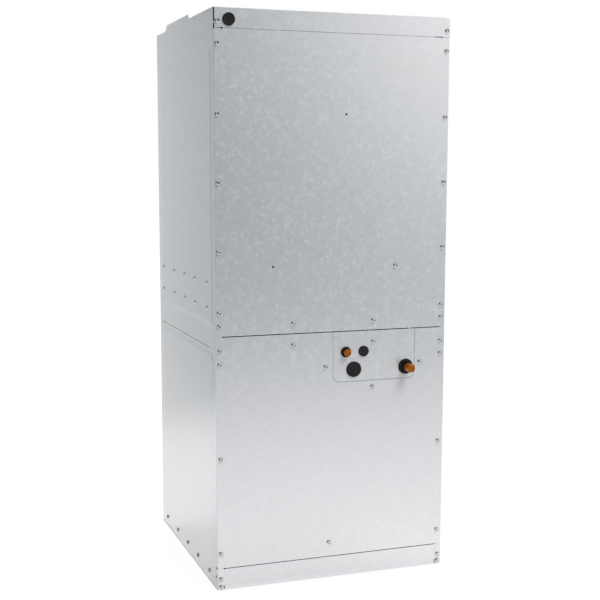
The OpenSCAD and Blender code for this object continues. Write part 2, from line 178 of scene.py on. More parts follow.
def galvanised(name, shift, dark=(0.618, 0.620, 0.637), light=(0.646, 0.648, 0.666), rough=(0.285, 0.335), metal=(0.795, 0.773), groove_shade=None, spark=0.01):
    """Zinc-coated sheet: soft-edged crystals of 4 to 9 mm, of which some are duller and scatter more light, over a faint fine grain."""
    m, nt, b = new_mat(name)
    c = coords(nt, shift)
    warp = noise(nt, c, 75.0, 2.0)
    wv = vmath(nt, "SCALE", vmath(nt, "SUBTRACT", warp.outputs["Color"], (0.5, 0.5, 0.5)), scale=0.011)
    cw = vmath(nt, "ADD", c, wv)
    cell = add(nt, "ShaderNodeTexVoronoi", feature="SMOOTH_F1", Scale=135.0, Smoothness=0.55)
    nt.links.new(cw, cell.inputs["Vector"])
    sc_ = nt.nodes.new("ShaderNodeSeparateColor")
    nt.links.new(cell.outputs["Color"], sc_.inputs[0])
    mott = noise(nt, cw, 150.0, 2.0, 0.55)
    fine = noise(nt, c, 380.0, 2.0, 0.5)
    cloud = noise(nt, c, 9.0, 2.0, 0.5)
    # dull flecks: some of the crystals, broken up by a softer mottle
    v = maths(nt, "ADD", maths(nt, "MULTIPLY", sc_.outputs[0], 0.55), maths(nt, "MULTIPLY", mott.outputs["Fac"], 0.75))
    fleck = soft_step(nt, v, 0.60, 0.98)
    grain = map_range(nt, fine.outputs["Fac"], 0.3, 0.7, -0.09, 0.09)
    wide = map_range(nt, cloud.outputs["Fac"], 0.3, 0.7, -0.05, 0.05)
    dull = maths(nt, "ADD", maths(nt, "ADD", fleck, grain), wide)
    tone = maths(nt, "ADD", maths(nt, "MULTIPLY", sc_.outputs[1], 0.6), maths(nt, "MULTIPLY", fine.outputs["Fac"], 0.4))
    # the dull flecks are also a little paler
    pale = nt.nodes.new("ShaderNodeVectorMath")
    pale.operation = "SCALE"
    nt.links.new(ramp(nt, tone, [(0.2, dark), (0.8, light)]), pale.inputs[0])
    nt.links.new(map_range(nt, fleck, 0.0, 1.0, 1.0 - 0.3 * spark, 1.0 + 0.7 * spark), pale.inputs["Scale"])
    colour = pale.outputs[0]
    if groove_shade:
        # painted shade: where the rim that lies behind the face shows in the groove round the notch, its colour is
        # darkened by up to 16 % towards the back
        place = nt.nodes.new("ShaderNodeSeparateXYZ")
        nt.links.new(coords(nt), place.inputs[0])
        shade_scale = nt.nodes.new("ShaderNodeVectorMath")
        shade_scale.operation = "SCALE"
        nt.links.new(colour, shade_scale.inputs[0])
        nt.links.new(map_range(nt, place.outputs[1], groove_shade[0], groove_shade[1], 1.0, 0.84), shade_scale.inputs["Scale"])
        colour = shade_scale.outputs[0]
    nt.links.new(colour, b.inputs["Base Color"])
    nt.links.new(map_range(nt, dull, 0.0, 1.0, rough[0], rough[1]), b.inputs["Roughness"])
    nt.links.new(map_range(nt, dull, 0.0, 1.0, metal[0], metal[1]), b.inputs["Metallic"])
    # each crystal leans a very little
    geo = nt.nodes.new("ShaderNodeNewGeometry")
    lean = vmath(nt, "SCALE", vmath(nt, "SUBTRACT", cell.outputs["Color"], (0.5, 0.5, 0.5)), scale=0.006)
    nt.links.new(vmath(nt, "NORMALIZE", vmath(nt, "ADD", geo.outputs["Normal"], lean)), b.inputs["Normal"])
    return m


def plated(name, dark, light, rough=(0.22, 0.34)):
    """Bright plated steel of small fixings, a little dull in patches."""
    m, nt, b = new_mat(name)
    c = coords(nt)
    n1 = noise(nt, c, 260.0, 3.0)
    n2 = noise(nt, c, 1400.0, 2.0)
    nt.links.new(ramp(nt, n1.outputs["Fac"], [(0.3, dark), (0.7, light)]), b.inputs["Base Color"])
    nt.links.new(map_range(nt, n2.outputs["Fac"], 0.25, 0.75, rough[0], rough[1]), b.inputs["Roughness"])
    bump(nt, b, n2.outputs["Fac"], 0.08, 0.0002)
    b.inputs["Metallic"].default_value = 1.0
    return m


def moulded(name, dark, light, rough, grain_scale, strength, shine=0.5):
    """Rubber or plastic with a fine moulded grain."""
    m, nt, b = new_mat(name)
    b.inputs["Specular IOR Level"].default_value = shine
    c = coords(nt)
    n1 = noise(nt, c, grain_scale, 3.0)
    n2 = noise(nt, c, 34.0, 2.0)
    nt.links.new(ramp(nt, n2.outputs["Fac"], [(0.3, dark), (0.7, light)]), b.inputs["Base Color"])
    nt.links.new(map_range(nt, n1.outputs["Fac"], 0.2, 0.8, rough[0], rough[1]), b.inputs["Roughness"])
    bump(nt, b, n1.outputs["Fac"], strength, 0.0004)
    return m


zinc_upper = galvanised("galvanised_upper_front", (0.31, 0.0, 0.12), spark=0.008)
zinc_lower = galvanised("galvanised_lower_front", (1.73, 0.4, 0.90), spark=0.008)
zinc_plate = galvanised("galvanised_plate", (2.91, 0.7, 0.35))
# painted shade: the tube plate's colour is darkened on its rim behind the front face, where it shows in the groove
zinc_tubes = galvanised("galvanised_tube_plate", (2.91, 0.7, 0.35), groove_shade=((YF + 0.4) / 1000, (YF + 0.8) / 1000))
zinc_cover = galvanised("galvanised_cover", (4.17, 1.1, 0.66), spark=0.012)
zinc_base = galvanised("galvanised_base", (5.02, 1.9, 0.21))
zinc_side_u = galvanised("galvanised_upper_side", (6.43, 2.3, 0.73), spark=0.03)
zinc_side_l = galvanised("galvanised_lower_side", (7.11, 3.1, 0.44), spark=0.02)
zinc_back = galvanised("galvanised_back", (8.37, 3.7, 0.57), spark=0.012)
zinc_inner = galvanised("galvanised_inner", (9.05, 4.3, 0.83), dark=(0.525, 0.527, 0.540), light=(0.560, 0.562, 0.577), rough=(0.34, 0.42))
screw_steel = plated("screw_steel", (0.56, 0.57, 0.58), (0.68, 0.69, 0.70), (0.17, 0.26))
screw_dull = plated("plated_base_screws", (0.34, 0.35, 0.36), (0.46, 0.47, 0.48))
rivet_metal = plated("rivet_metal", (0.62, 0.63, 0.64), (0.72, 0.73, 0.74), (0.20, 0.30))
rubber = moulded("black_rubber", (0.004, 0.004, 0.004), (0.008, 0.0075, 0.0075), (0.50, 0.66), 900.0, 0.12, 0.22)
plastic = moulded("black_plastic", (0.006, 0.0055, 0.006), (0.011, 0.010, 0.0105), (0.42, 0.55), 1300.0, 0.06, 0.13)
pan_plastic = moulded("pan_plastic", (0.022, 0.024, 0.026), (0.036, 0.038, 0.040), (0.40, 0.55), 700.0, 0.10)
enamel = moulded("motor_enamel", (0.018, 0.018, 0.019), (0.032, 0.032, 0.034), (0.28, 0.40), 500.0, 0.05)


def copper_mat():
    """Drawn copper, tarnished in soft patches, with fine lines along the tube."""
    m, nt, b = new_mat("copper_tube")
    c = coords(nt)
    patch = noise(nt, c, 120.0, 4.0, 0.6)
    line = noise(nt, coords(nt, (0, 0, 0), (1.0, 0.06, 1.0)), 1500.0, 2.0)
    nt.links.new(ramp(nt, patch.outputs["Fac"], [(0.28, (0.38, 0.109, 0.011)), (0.52, (0.52, 0.166, 0.018)), (0.76, (0.66, 0.250, 0.042))]), b.inputs["Base Color"])
    nt.links.new(map_range(nt, patch.outputs["Fac"], 0.25, 0.75, 0.38, 0.24), b.inputs["Roughness"])
    bump(nt, b, line.outputs["Fac"], 0.10, 0.0002)
    b.inputs["Metallic"].default_value = 1.0
    return m


def foam_mat():
    """Dark coated fibre board: flecked, soft, slightly uneven."""
    m, nt, b = new_mat("lining_board")
    c = coords(nt)
    fleck = noise(nt, c, 900.0, 3.0, 0.7)
    lump = noise(nt, c, 70.0, 3.0)
    nt.links.new(ramp(nt, fleck.outputs["Fac"], [(0.35, (0.018, 0.018, 0.019)), (0.60, (0.045, 0.045, 0.046)), (0.75, (0.10, 0.10, 0.098))]), b.inputs["Base Color"])
    nt.links.new(map_range(nt, lump.outputs["Fac"], 0.3, 0.7, 0.86, 0.97), b.inputs["Roughness"])
    h = maths(nt, "ADD", maths(nt, "MULTIPLY", fleck.outputs["Fac"], 0.35), lump.outputs["Fac"])
    bump(nt, b, h, 0.55, 0.0016)
    return m


def fin_mat():
    """Thin aluminium fin stock."""
    m, nt, b = new_mat("fin_aluminium")
    c = coords(nt)
    n1 = noise(nt, c, 90.0, 3.0)
    n2 = noise(nt, c, 800.0, 2.0)
    nt.links.new(ramp(nt, n1.outputs["Fac"], [(0.3, (0.66, 0.67, 0.68)), (0.7, (0.82, 0.83, 0.835))]), b.inputs["Base Color"])
    nt.links.new(map_range(nt, n2.outputs["Fac"], 0.3, 0.7, 0.28, 0.42), b.inputs["Roughness"])
    bump(nt, b, n2.outputs["Fac"], 0.10, 0.0002)
    b.inputs["Metallic"].default_value = 1.0
    return m


copper = copper_mat()
foam = foam_mat()
fins = fin_mat()


# ------------------------------------------------------------------ mesh helpers
def piece(name, verts, faces, mats, stands_for=(), sharp=32.0, face_mats=None, fix=True):
    me = bpy.data.meshes.new(name)
    me.from_pydata([tuple(v) for v in verts], [], faces)
    if fix:
        bm = bmesh.new()
        bm.from_mesh(me)
        bmesh.ops.recalc_face_normals(bm, faces=bm.faces[:])
        bm.to_mesh(me)
        bm.free()
    for m in (mats if isinstance(mats, (list, tuple)) else [mats]):
        me.materials.append(m)
    for p in me.polygons:
        p.use_smooth = True
    if face_mats:
        for p, k in zip(me.polygons, face_mats):
            p.material_index = k
    me.set_sharp_from_angle(angle=math.radians(sharp))
    me.update()
    ob = bpy.data.objects.new(name, me)
    sc.collection.objects.link(ob)
    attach(ob, "root")
    if stands_for:
        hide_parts(*stands_for)
    return ob


def arc(cx, cy, r, a0, a1, n):
    return [(cx + r * math.cos(math.radians(a0 + (a1 - a0) * i / n)), cy + r * math.sin(math.radians(a0 + (a1 - a0) * i / n)),
             math.cos(math.radians(a0 + (a1 - a0) * i / n)), math.sin(math.radians(a0 + (a1 - a0) * i / n))) for i in range(n + 1)]


def fold_sheet(name, nu, nv, point, keep, mat, stands_for):
    """Closed bent sheet. point(i, j) gives the outer and the inner point at a grid crossing in mm, keep(i, j) says which cells are there."""
    verts, faces, ids = [], [], {}

    def vid(i, j, side):
        if (i, j, side) not in ids:
            ids[(i, j, side)] = len(verts)
            verts.append(at(*point(i, j)[side]))
        return ids[(i, j, side)]

    cells = {(i, j) for i in range(nu - 1) for j in range(nv - 1) if keep(i, j)}
    for (i, j) in sorted(cells):
        q = [(i, j), (i + 1, j), (i + 1, j + 1), (i, j + 1)]
        faces.append([vid(*p, 0) for p in q])
        faces.append([vid(*p, 1) for p in reversed(q)])
        for (p0, p1), nb in zip(((q[0], q[1]), (q[1], q[2]), (q[2], q[3]), (q[3], q[0])), ((i, j - 1), (i + 1, j), (i, j + 1), (i - 1, j))):
            if nb not in cells:
                faces.append([vid(*p1, 0), vid(*p0, 0), vid(*p0, 1), vid(*p1, 1)])
    return piece(name, verts, faces, mat, stands_for)


def lathe(profile, origin, axis, segs=64, verts=None, faces=None):
    """Turned shape about an axis: profile holds (radius, distance along the axis); the ends close on the axis where the radius is 0."""
    verts = [] if verts is None else verts
    faces = [] if faces is None else faces
    z = Vector(axis).normalized()
    x = z.orthogonal().normalized()
    y = z.cross(x)
    rings = []
    for r, h in profile:
        if r < 1e-6:
            rings.append([len(verts)])
            verts.append(Vector(origin) + z * h)
        else:
            start = len(verts)
            for k in range(segs):
                g = 2 * math.pi * k / segs
                verts.append(Vector(origin) + z * h + (x * math.cos(g) + y * math.sin(g)) * r)
            rings.append(list(range(start, start + segs)))
    for a, b in zip(rings, rings[1:]):
        for k in range(segs):
            k2 = (k + 1) % segs
            if len(a) == 1 and len(b) == 1:
                continue
            if len(a) == 1:
                faces.append([a[0], b[k2], b[k]])
            elif len(b) == 1:
                faces.append([a[k], a[k2], b[0]])
            else:
                faces.append([a[k], a[k2], b[k2], b[k]])
    return verts, faces


def lathe_mm(profile, c, front, segs=64):
    """Turned about a line along Y at (x, z) in mm: profile holds (radius, distance in front of the plane y = front)."""
    return lathe([(r * MM, h * MM) for r, h in profile], at(c[0], front, c[1]), (0, -1, 0), segs)


def box_into(verts, faces, lo, hi, frame_m=None):
    s = len(verts)
    for z in (lo[2], hi[2]):
        for (x, y) in ((lo[0], lo[1]), (hi[0], lo[1]), (hi[0], hi[1]), (lo[0], hi[1])):
            v = Vector((x, y, z))
            verts.append(frame_m @ v if frame_m else v)
    for q in ((3, 2, 1, 0), (4, 5, 6, 7), (0, 1, 5, 4), (1, 2, 6, 5), (2, 3, 7, 6), (3, 0, 4, 7)):
        faces.append([s + i for i in q])


# ------------------------------------------------------------------ side panels
FIELD_R, FIELD_IN, FIELD_RISE = 26.0, 22.5, 0.8
UP_FIELD, LOW_FIELD = (573.0, 1149.0), (62.0, 518.0)


def field_height(y, z, z0, z1):
    """Height of the raised field at a point of a side panel: pressed steeply at the corners, softly along the edges."""
    cx, cz = D / 2, (z0 + z1) / 2
    hx, hz = D / 2 - FIELD_IN, (z1 - z0) / 2
    qx, qz = abs(y - cx) - (hx - FIELD_R), abs(z - cz) - (hz - FIELD_R)
    dist = FIELD_R - (math.hypot(max(qx, 0), max(qz, 0)) + min(max(qx, qz), 0.0))
    slope = 10.0 - 6.0 * smooth01(min(max(qx, 0), max(qz, 0)) / 8.0)
    return FIELD_RISE * smooth01(dist / slope)


def spread(a, b, step):
    n = max(1, round(abs(b - a) / step))
    return [a + (b - a) * i / n for i in range(n + 1)]


def lines(*runs):
    out = []
    for r in runs:
        for v in r:
            if not out or abs(v - out[-1]) > 1e-6:
                out.append(v)
    return out


def field_lines(a, b, lo, hi):
    """Grid lines from a to b, close together over the edges and corners of a field from lo to hi."""
    return lines(spread(a, lo - 1, 9.0), spread(lo - 1, lo + FIELD_R + 2, 1.75), spread(lo + FIELD_R + 2, hi - FIELD_R - 2, 48.0),
                 spread(hi - FIELD_R - 2, hi + 1, 1.75), spread(hi + 1, b, 9.0))


def side_panel(name, mirror, zs, foot, z0, z1, dropped, mat, flange=16.0):
    """U-shaped panel with a return flange at the front and the back, and for the lower one a foot bent in at the floor."""
    us = [("flange", -A + x, T, 0.0, -1.0) for x in (flange, flange * 0.75, flange * 0.5, 5.0)]
    us += [("bend", x, y, nx, ny) for x, y, nx, ny in arc(-A + R, T + R, R, 270, 180, 7)[:-1]]
    ys = field_lines(T + R, D - T - R, FIELD_IN, D - FIELD_IN)
    ys = sorted(set(round(y, 4) for y in ys + [7.0, 8.0, 14.0, 15.0, 50.0, 50.4, D - 24.0, D - 23.6]))
    us += [("face", -A, y, -1.0, 0.0) for y in ys]
    us += [("bend", x, y, nx, ny) for x, y, nx, ny in arc(-A + R, D - T - R, R, 180, 90, 7)[1:]]
    us += [("flange", -A + x, D - T, 0.0, 1.0) for x in (5.0, flange * 0.5, flange * 0.75, flange)]
    vs = []
    if foot:
        vs += [("foot", -A + x, 0.0, 0.0, -1.0) for x in (25.0, 18.0, 11.0, 6.0)]
        vs += [("foot", x, z, nx, nz) for x, z, nx, nz in arc(-A + R, R, R, 270, 180, 7)[:-1]]
    vs += [("wall", 0.0, z, 0.0, 0.0) for z in zs]
    s = -1.0 if mirror else 1.0

    def point(i, j):
        u, v = us[i], vs[j]
        if v[0] == "foot":
            return (s * v[1], u[2], v[2]), (s * (v[1] - v[3] * T), u[2], v[2] - v[4] * T)
        h = field_height(u[2], v[2], z0, z1) if u[0] == "face" else 0.0
        x, y = u[1] + u[3] * h, u[2] + u[4] * h
        # the lower panel meets the upper one closely at the front and back strips
        z = v[2] + (0.9 if v[2] == SEAM_Z and not 50.2 < u[2] < D - 23.8 else 0.0)
        return (s * x, y, z), (s * (x - u[3] * T), y - u[4] * T, z)

    def keep(i, j):
        kinds = (us[i][0], us[i + 1][0])
        if "foot" in (vs[j][0], vs[j + 1][0]) and kinds != ("face", "face"):
            return False
        y = (us[i][2] + us[i + 1][2]) / 2
        z = (vs[j][2] + vs[j + 1][2]) / 2
        # the front flange of the lower panel is cut short behind the base strip
        if foot and y < 3 and z < 13 and min(us[i][1], us[i + 1][1]) > -A + 7.9:
            return False
        # and the flanges are cleared behind the left end of a front seam
        if y < 3 and abs(z - (BASE_H + 0.85 if foot else FRONT_SEAM_Z)) < 3 and min(us[i][1], us[i + 1][1]) > -A + 9.9:
            return False
        for y0, y1, za, zb, with_flange in dropped:
            if y0 < y < y1 and za < z < zb and (with_flange or "flange" not in kinds):
                return False
        return True

    return fold_sheet(name + "_sheet", len(us), len(vs), point, keep, mat, (name,))


zs_up = sorted(set(round(z, 4) for z in field_lines(SEAM_Z + 1, SIDE_TOP, *UP_FIELD) + [HEADER_Z - 3, HEADER_Z + 2.5, FRONT_SEAM_Z - 3, FRONT_SEAM_Z + 3]))
zs_low = sorted(set(round(z, 4) for z in field_lines(R, SEAM_Z, *LOW_FIELD) + [13.0, 25.0, 31.0, BASE_H - 2.15, BASE_H - 0.9, BASE_H + 2.1, BASE_H + 3.85]))
for side, mirror in (("left", False), ("right", True)):
    side_panel("upper_side_" + side, mirror, zs_up, False, *UP_FIELD, [(-1, 7.0, HEADER_Z + (2.5 if mirror else -3), 2000, True)], zinc_side_u,
               15.3 if mirror else 16.0)
    side_panel("lower_side_" + side, mirror, zs_low, True, *LOW_FIELD,
               [(8.0, 14.0, 25.0, 31.0, False), (0.0, 15.0, BASE_H - 0.9, BASE_H + 2.1, False)], zinc_side_l)


def foot_lip(name, s):
    """Thin edge of the base sheet that shows under a side panel's foot."""
    prof = [(1.0, 0.0), (-0.3, 0.0), (-0.6, 0.25), (-0.6, 1.35), (-0.3, 1.6), (1.0, 1.6)]
    verts = [at(s * (A - x), y, z) for y in (4.0, 9.0, D / 2, D - 9.0, D - 4.0) for x, z in prof]
    n = len(prof)
    faces = [[k * n + i, k * n + (i + 1) % n, (k + 1) * n + (i + 1) % n, (k + 1) * n + i] for k in range(4) for i in range(n)]
    faces += [list(range(n)), [4 * n + i for i in reversed(range(n))]]
    return piece(name, verts, faces, zinc_inner, sharp=50)


foot_lip("foot_lip_left", -1.0)
foot_lip("foot_lip_right", 1.0)


# ------------------------------------------------------------------ top cover: front flange and side wings bent down from one sheet
def top_cover():
    rb = 1.15
    wing_z = HEADER_Z - 3.6
    us = [("wing", -A - T, z, -1.0, 0.0) for z in (wing_z, wing_z + 12, wing_z + 26)]
    us += [("bend", x, z, nx, nz) for x, z, nx, nz in arc(-A - T + rb, CAB_H - rb, rb, 180, 90, 6)]
    xs = [-A + 1.9, -A + 6, -A + 14.87, -A + 15.4, -A + 16.9, -A + 18.4, -A + 18.93, -A + 40, -160, -80, 0, 80, 160, A - 40, A - 34.6, A - 25, A - 15.3, A - 12, A - 8, A - 5, A - 2.2]
    us += [("top", x, CAB_H, 0.0, 1.0) for x in xs]
    us += [("bend", x, z, nx, nz) for x, z, nx, nz in arc(A + T - rb, CAB_H - rb, rb, 90, 0, 6)]
    us += [("wing", A + T, z, 1.0, 0.0) for z in (wing_z + 26, wing_z + 12, wing_z)]
    vs = [("flange", 0.0, z, -1.0, 0.0) for z in (HEADER_Z, HEADER_Z + 0.7, HEADER_Z + 1.35, HEADER_Z + 14, HEADER_Z + 28, CAB_H - rb - 0.4)]
    vs += [("bend", y, z, ny, nz) for y, z, ny, nz in arc(rb, CAB_H - rb, rb, 180, 90, 6)]
    vs += [("top", y, CAB_H, 0.0, 1.0) for y in (3.0, 8.0, 14.0, 40.0, 80.0, 120.0, 160.0, 200.0, 237.0)]

    def point(i, j):
        u, v = us[i], vs[j]
        if u[0] == "top":
            o = [u[1], v[1], v[2]]
            n = [0.0, v[3], v[4]]
        elif u[0] == "bend" and u[1] > 0 and v[0] != "top":
            # the front flange runs on over the end of the right wing
            o = [u[1], v[1], min(v[2], u[2])]
            n = [0.0, v[3], v[4]]
        else:
            o = [u[1], v[1], u[2]]
            n = [u[3], 0.0, u[4]]
        q = [a - b * T for a, b in zip(o, n)]
        if u[0] != "wing" and v[2] > HEADER_Z + 20:
            # the front edge rises a little towards the right
            t = max(0.0, min(1.0, (u[1] + A) / (2 * A)))
            rise = (0.5 * t + 0.9 * t ** 3) * (1 - smooth01((v[1] - 4.0) / 100.0))
            o[2] += rise
            q[2] += rise
        if u[1] > A - 12:
            # the front right corner is clipped low
            dip = 4.0 * min(1.0, (u[1] - (A - 12)) / 13.0) * (1 - smooth01((v[1] - 4.0) / 12.0))
            if u[0] != "wing" and v[2] > HEADER_Z + 20:
                o[2] -= dip
                q[2] -= dip
        return tuple(o), tuple(q)

    def keep(i, j):
        top_u = us[i][0] == "top" and us[i + 1][0] == "top"
        top_v = vs[j][0] == "top" and vs[j + 1][0] == "top"
        if not top_u and not top_v:
            return us[i][1] > 0 and us[i + 1][0] == "bend" and us[i + 1][1] < A + 0.2 and vs[j + 1][0] != "top"
        if not top_v and top_u:
            x, z = (us[i][1] + us[i + 1][1]) / 2, (vs[j][2] + vs[j + 1][2]) / 2
            if -A + 14.87 < x < -A + 18.93 and vs[j][0] == "flange" and vs[j + 1][0] == "flange" and z < HEADER_Z + 1.35:
                return z > HEADER_Z + 0.7 and not -A + 15.4 < x < -A + 18.4
            if A - 34.6 < x < A - 15.3 and z < HEADER_Z + 0.7:
                return False
        return True

    return fold_sheet("top_cover_sheet", len(us), len(vs), point, keep, zinc_cover, ("top_cover",))


top_cover()

# ------------------------------------------------------------------ screws and rivets
rng = random.Random(7)


def screw_mesh(washer, across, head, dish, segs=36):
    """Hex head screw with a washer about +Z, in mm, seat at z 0, with a dish in the head."""
    rings = []

    def hexr(g, af):
        k = (math.degrees(g) % 60) - 30
        return af / 2 / math.cos(math.radians(k))

    for r, h in washer:
        rings.append([(r * math.cos(2 * math.pi * k / segs), r * math.sin(2 * math.pi * k / segs), h) for k in range(segs)])
    for h, cap in head:
        rings.append([(min(hexr(2 * math.pi * k / segs, across), cap) * math.cos(2 * math.pi * k / segs),
                       min(hexr(2 * math.pi * k / segs, across), cap) * math.sin(2 * math.pi * k / segs), h) for k in range(segs)])
    for r, h in dish:
        rings.append([(r * math.cos(2 * math.pi * k / segs), r * math.sin(2 * math.pi * k / segs), h) for k in range(segs)])
    v = [p for r in rings for p in r]
    f = []
    for a in range(len(rings) - 1):
        for k in range(segs):
            k2 = (k + 1) % segs
            f.append([a * segs + k, a * segs + k2, (a + 1) * segs + k2, (a + 1) * segs + k])
    f.append([k for k in reversed(range(segs))])
    f.append([(len(rings) - 1) * segs + k for k in range(segs)])
    return v, f


def rivet_mesh(segs=32):
    """Blind rivet head about +Z, in mm: low dome with an open middle."""
    prof = [(5.6, -0.2), (5.6, 0.35), (5.3, 0.75), (4.6, 1.25), (3.7, 1.65), (2.8, 1.9), (2.2, 1.95), (1.95, 1.8), (1.85, 0.7), (0.0, 0.6)]
    v, f = lathe(prof, (0, 0, 0), (0, 0, 1), segs)
    f.append([k for k in reversed(range(segs))])
    return [tuple(p) for p in v], f


def fixings(name, kind, spots, normal, mat, turn=True):
    """One joined mesh of like fixings: spots in mm in the cabinet's frame, on a face with that outward normal."""
    base_v, base_f = kind
    verts, faces = [], []
    z = Vector(normal).normalized()
    x = z.orthogonal().normalized()
    y = z.cross(x)
    for s in spots:
        g = rng.uniform(0, math.pi * 2) if turn else 0.0
        lean = (rng.uniform(-0.025, 0.025), rng.uniform(-0.025, 0.025))
        n = (z + x * lean[0] + y * lean[1]).normalized()
        u = n.orthogonal().normalized()
        w = n.cross(u)
        cu, su = math.cos(g), math.sin(g)
        start = len(verts)
        o = at(*s)
        for p in base_v:
            px, py = p[0] * cu - p[1] * su, p[0] * su + p[1] * cu
            verts.append(o + (u * px + w * py + n * p[2]) * MM)
        faces += [[start + i for i in f] for f in base_f]
    return piece(name, verts, faces, mat, sharp=28.0)


SCREW = screw_mesh([(5.3, -0.2), (5.3, 0.35), (5.15, 0.58), (3.75, 1.62)], 6.35,
                   [(1.75, 9.0), (2.9, 9.0), (3.3, 3.5), (3.62, 3.3), (3.85, 3.0)],
                   [(2.75, 3.85), (2.45, 3.76), (1.9, 3.58), (1.3, 3.46), (0.6, 3.42)])
LOW_SCREW = screw_mesh([(5.25, -0.2), (5.25, 0.22), (5.1, 0.4), (4.8, 0.53)], 7.94,
                       [(0.71, 9.0), (1.6, 9.0), (2.1, 4.62), (2.45, 4.25), (2.65, 3.8)],
                       [(3.3, 2.65), (2.9, 2.6), (2.3, 2.52), (1.7, 2.47), (0.8, 2.44)])
RIVET = rivet_mesh()
XL, ZD = -A + 0.4, -0.8
upper_front = [(7.4, 1206.8), (526.0, 1206.4),
               (6.2, 1162.0), (6.0, 1019.4), (6.4, 878.7), (6.5, 734.9), (7.3, 606.2), (7.5, 578.8),
               (525.6, 1162.9), (524.7, 1020.3), (524.2, 879.0), (523.8, 735.3), (522.8, 606.1), (522.5, 578.5),
               (410.1, 697.3), (172.3, 578.1), (358.5, 577.3)]
lower_front = [(172.4, 530.9), (7.5, 525.9), (7.4, 496.4), (8.4, 291.0), (7.5, 82.0),
               (523.0, 524.5), (522.7, 495.7), (521.1, 292.8), (522.0, 83.1),
               (246.8, 478.7), (472.3, 478.8), (358.0, 429.0), (256.4, 81.8)]
base_front = [(7.3, 25.5), (7.6, 7.8), (524.9, 24.3), (524.3, 9.0)]
fixings("upper_front_screws", SCREW, [(x + XL, 0.0, z + ZD) for x, z in upper_front], (0, -1, 0), screw_steel)
fixings("lower_front_screws", SCREW, [(x + XL, 0.0, z + ZD) for x, z in lower_front] + [(358.8 + XL, 0.0, 530.2 + ZD)], (0, -1, 0), screw_steel)
fixings("base_front_screws", SCREW, [(x + XL, 0.0, z + ZD) for x, z in base_front], (0, -1, 0), screw_steel)
rivet_y = (70.0, 175.2, 271.1, 373.6, 486.0)
base_y = (68.1, 171.4, 267.1, 368.5, 479.5)
for side, s in (("left", -1.0), ("right", 1.0)):
    fixings("side_rivets_" + side, RIVET, [(s * (A + FIELD_RISE), y, z) for z in (664.2, 610.2) for y in rivet_y], (s, 0, 0), rivet_metal)
    fixings("base_screws_" + side, LOW_SCREW, [(s * A, y, 23.4) for y in base_y], (s, 0, 0), screw_dull)
back = [(sx * 259.0, D, z) for sx in (-1, 1) for z in (1209, 1020, 879, 735, 606, 548, 502, 291, 82, 22)]
back += [(x, D, z) for x in (-95.0, 95.0) for z in (548.0, 505.0)]
fixings("back_screws", SCREW, back, (0, 1, 0), screw_steel)

# ------------------------------------------------------------------ grommets, plugs and copper stubs
LARGE_STUB, SMALL_STUB = (171.5, 468.7), (27.8, 508.3)
LARGE_PLUG, SMALL_PLUG, HEADER_PLUG = (46.6, 469.0), (69.6, 508.3), (-234.6, 1209.2)


def grommet(name, c, r, bore):
    p = [(bore, -3.0), (r - 0.8, -3.0), (r - 0.8, -1.0), (r - 3.0, -1.0), (r - 3.0, 0.0), (r, 0.0), (r, 1.0)]
    p += [(r - 2.2 + 2.2 * math.cos(math.radians(g)), 1.0 + 2.2 * math.sin(math.radians(g))) for g in (15, 30, 45, 60, 75, 90)]
    p += [(bore + 2.4, 3.15), (bore + 1.2, 2.9), (bore + 0.5, 2.3), (bore, 1.4), (bore, -3.0)]
    v, f = lathe_mm(p, c, 0.0, 72)
    return piece(name + "_ring", v, f, rubber, (name,), sharp=40)


def plug(name, c, r, neck):
    p = [(0.0, -5.5), (neck - 1.0, -5.5), (neck, -4.5), (neck, 0.0), (r, 0.0), (r, 1.7)]
    p += [(r - 1.5 + 1.5 * math.cos(math.radians(g)), 1.7 + 1.5 * math.sin(math.radians(g))) for g in (18, 36, 54, 72, 90)]
    p += [(r * 0.80, 3.35), (r * 0.74, 3.3), (r * 0.70, 2.95), (r * 0.66, 2.85), (r * 0.45, 2.95), (r * 0.2, 3.05), (0.0, 3.1)]
    v, f = lathe_mm(p, c, 0.0, 72)
    return piece(name + "_cap", v, f, plastic, (name,), sharp=40)


def stub(name, c, r, reach):
    """Tube closed by a flat end: tight shoulder, very shallow dish and a small closing pip."""
    e = 1.2
    p = [(0.0, -38.0), (r - 0.3, -38.0), (r - 0.3, 1.4), (r, 1.6), (r, reach * 0.55), (r, reach - e)]
    p += [(r - e + e * math.cos(math.radians(g)), reach - e + e * math.sin(math.radians(g))) for g in (15, 30, 45, 60, 75, 90)]
    p += [((r - e) * 0.82, reach - 0.08), ((r - e) * 0.62, reach - 0.25), ((r - e) * 0.42, reach - 0.32), (1.5, reach - 0.3), (1.1, reach - 0.1), (0.6, reach - 0.03), (0.0, reach)]
    v, f = lathe_mm(p, c, 0.0, 64)
    return piece(name + "_tube", v, f, copper, (name,), sharp=40)


grommet("large_grommet", LARGE_STUB, 17.3, 9.225)
grommet("small_grommet", SMALL_STUB, 11.85, 7.6375)
plug("large_hole_plug", LARGE_PLUG, 17.3, 14.3)
plug("small_hole_plug", SMALL_PLUG, 11.85, 9.85)
plug("header_plug", HEADER_PLUG, 13.2, 11.0)
stub("large_stub", LARGE_STUB, 9.525, 31.5)
stub("small_stub", SMALL_STUB, 7.9375, 13.0)

# ------------------------------------------------------------------ blower
WHEEL_Y, WHEEL_Z, WHEEL_R = 285.0, 866.8, 127.0


